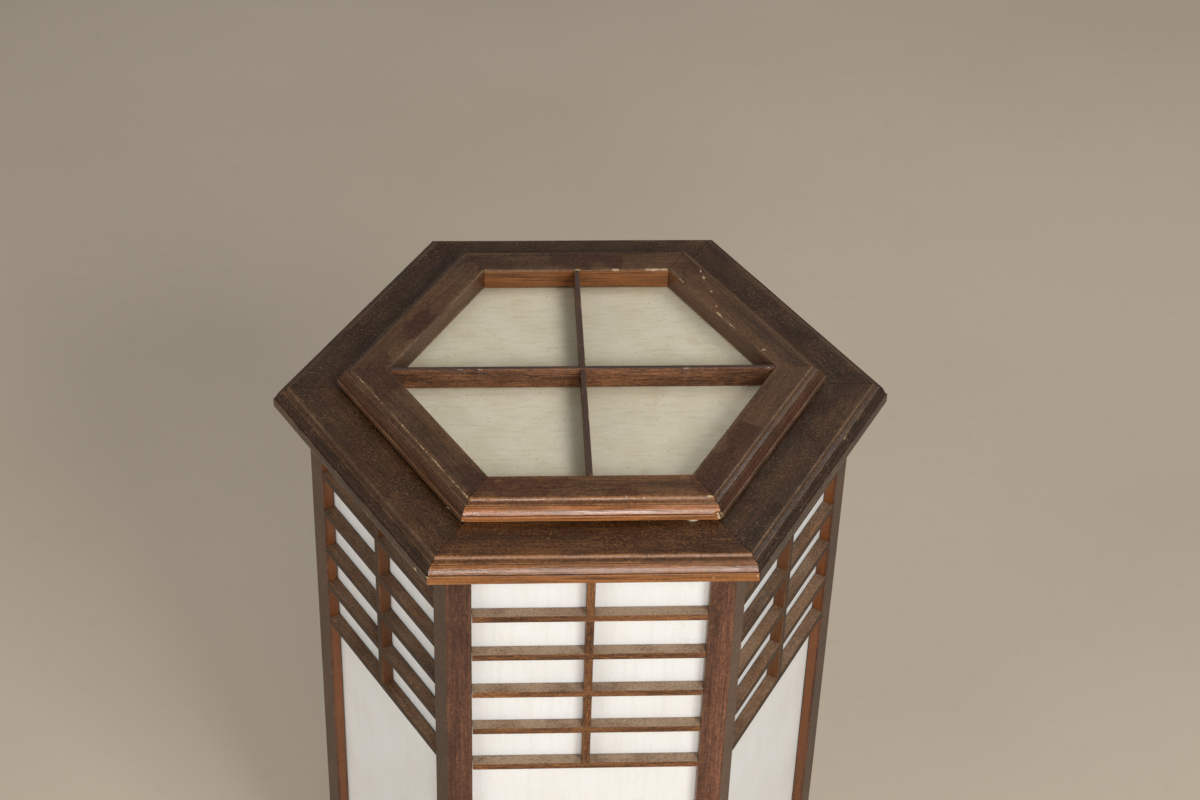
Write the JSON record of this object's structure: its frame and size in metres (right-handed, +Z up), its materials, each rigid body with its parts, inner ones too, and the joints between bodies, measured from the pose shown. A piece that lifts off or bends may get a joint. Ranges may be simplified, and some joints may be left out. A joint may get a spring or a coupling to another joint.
{
  "type": "paper table lamp",
  "caption": "Hexagonal lantern lamp: stained wood posts and lattice over paper sides, a moulded overhanging cornice and a lift-off framed paper lid, with a bulb in a holder on a plank inside.",
  "frame": {"origin": "on the surface the feet stand on, under the lamp's axis", "axes": "+Z up along the lamp's axis, -Y towards the front side, +X to the right seen from the front, through two opposite corners"},
  "size_m": [0.3998, 0.3464, 0.555],
  "materials": {
    "stained_wood": "dark stain, worn satin",
    "lattice_wood": "dark stain, dusty",
    "plain_wood": "bare planed wood",
    "side_washi": "off-white fibrous paper",
    "lid_washi": "yellowed fibrous paper",
    "felt": "pale felt",
    "holder_ceramic": "glazed white",
    "holder_brass": "dull brass",
    "screw_steel": "plain steel",
    "bulb_glass": "frosted"
  },
  "bodies": {
    "lamp_body": {"post_right": "stained_wood", "post_back_right": "stained_wood", "post_back_left": "stained_wood", "post_left": "stained_wood", "post_front_left": "stained_wood", "post_front_right": "stained_wood", "top_rail_front": "stained_wood", "top_rail_front_right": "stained_wood", "top_rail_back_right": "stained_wood", "top_rail_back": "stained_wood", "top_rail_back_left": "stained_wood", "top_rail_front_left": "stained_wood", "bottom_rail_front": "stained_wood", "bottom_rail_front_right": "stained_wood", "bottom_rail_back_right": "stained_wood", "bottom_rail_back": "stained_wood", "bottom_rail_back_left": "stained_wood", "bottom_rail_front_left": "stained_wood", "lattice_front": "lattice_wood", "lattice_front_right": "lattice_wood", "lattice_back_right": "lattice_wood", "lattice_back": "lattice_wood", "lattice_back_left": "lattice_wood", "lattice_front_left": "lattice_wood", "side_paper_front": "side_washi", "side_paper_front_right": "side_washi", "side_paper_back_right": "side_washi", "side_paper_back": "side_washi", "side_paper_back_left": "side_washi", "side_paper_front_left": "side_washi", "cornice_rail_front": "stained_wood", "cornice_rail_front_right": "stained_wood", "cornice_rail_back_right": "stained_wood", "cornice_rail_back": "stained_wood", "cornice_rail_back_left": "stained_wood", "cornice_rail_front_left": "stained_wood", "plank": "plain_wood", "holder_body": "holder_ceramic", "holder_shell": "holder_brass", "holder_contact": "holder_brass", "holder_screw_left": "screw_steel", "holder_screw_right": "screw_steel", "bulb_glass": "bulb_glass", "bulb_cap": "holder_brass"},
    "lid": {"lid_rail_front": "stained_wood", "lid_rail_front_right": "stained_wood", "lid_rail_back_right": "stained_wood", "lid_rail_back": "stained_wood", "lid_rail_back_left": "stained_wood", "lid_rail_front_left": "stained_wood", "lid_pad_front": "felt", "lid_pad_front_right": "felt", "lid_pad_back_right": "felt", "lid_pad_back": "felt", "lid_pad_back_left": "felt", "lid_pad_front_left": "felt", "lid_bar_long": "lattice_wood", "lid_bar_short": "lattice_wood", "lid_paper": "lid_washi"}
  },
  "joints": [
    {"name": "lid_lift", "type": "slide", "parent": "lamp_body", "child": "lid", "axis": [0, 0, 1], "range_m": [0, 0.12]}
  ]
}
